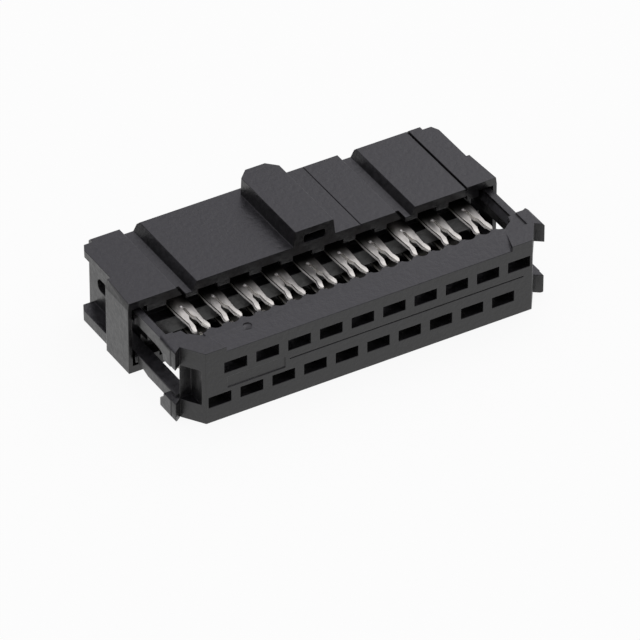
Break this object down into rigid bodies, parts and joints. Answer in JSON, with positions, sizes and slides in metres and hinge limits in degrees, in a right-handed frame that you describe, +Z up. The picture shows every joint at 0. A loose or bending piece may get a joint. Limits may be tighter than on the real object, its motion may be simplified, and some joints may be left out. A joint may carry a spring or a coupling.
{
  "type": "idc ribbon cable socket",
  "caption": "Double-row ribbon cable socket lying on its side: black keyed housing, staggered insulation-piercing fork contacts and a slotted press-on cover held open on latch arms.",
  "frame": {"origin": "centre of the bounding box on the plane the socket lies on", "axes": "+X along the rows, +Y from the cover to the mating face, +Z up through the key"},
  "size_m": [0.0298, 0.016, 0.0072],
  "materials": {
    "housing": "satin black glass-filled moulding",
    "cover": "satin black glass-filled moulding",
    "contact": "satin tin plating on stamped copper alloy"
  },
  "bodies": {
    "housing": {"housing": "housing", "contact_upper_01": "contact", "contact_upper_02": "contact", "contact_upper_03": "contact", "contact_upper_04": "contact", "contact_upper_05": "contact", "contact_upper_06": "contact", "contact_upper_07": "contact", "contact_upper_08": "contact", "contact_upper_09": "contact", "contact_upper_10": "contact", "contact_lower_01": "contact", "contact_lower_02": "contact", "contact_lower_03": "contact", "contact_lower_04": "contact", "contact_lower_05": "contact", "contact_lower_06": "contact", "contact_lower_07": "contact", "contact_lower_08": "contact", "contact_lower_09": "contact", "contact_lower_10": "contact"},
    "cover": {"cover": "cover"}
  },
  "joints": [
    {"name": "cover_press", "type": "slide", "parent": "housing", "child": "cover", "axis": [0, 1, 0], "range_m": [0, 0.004]}
  ]
}
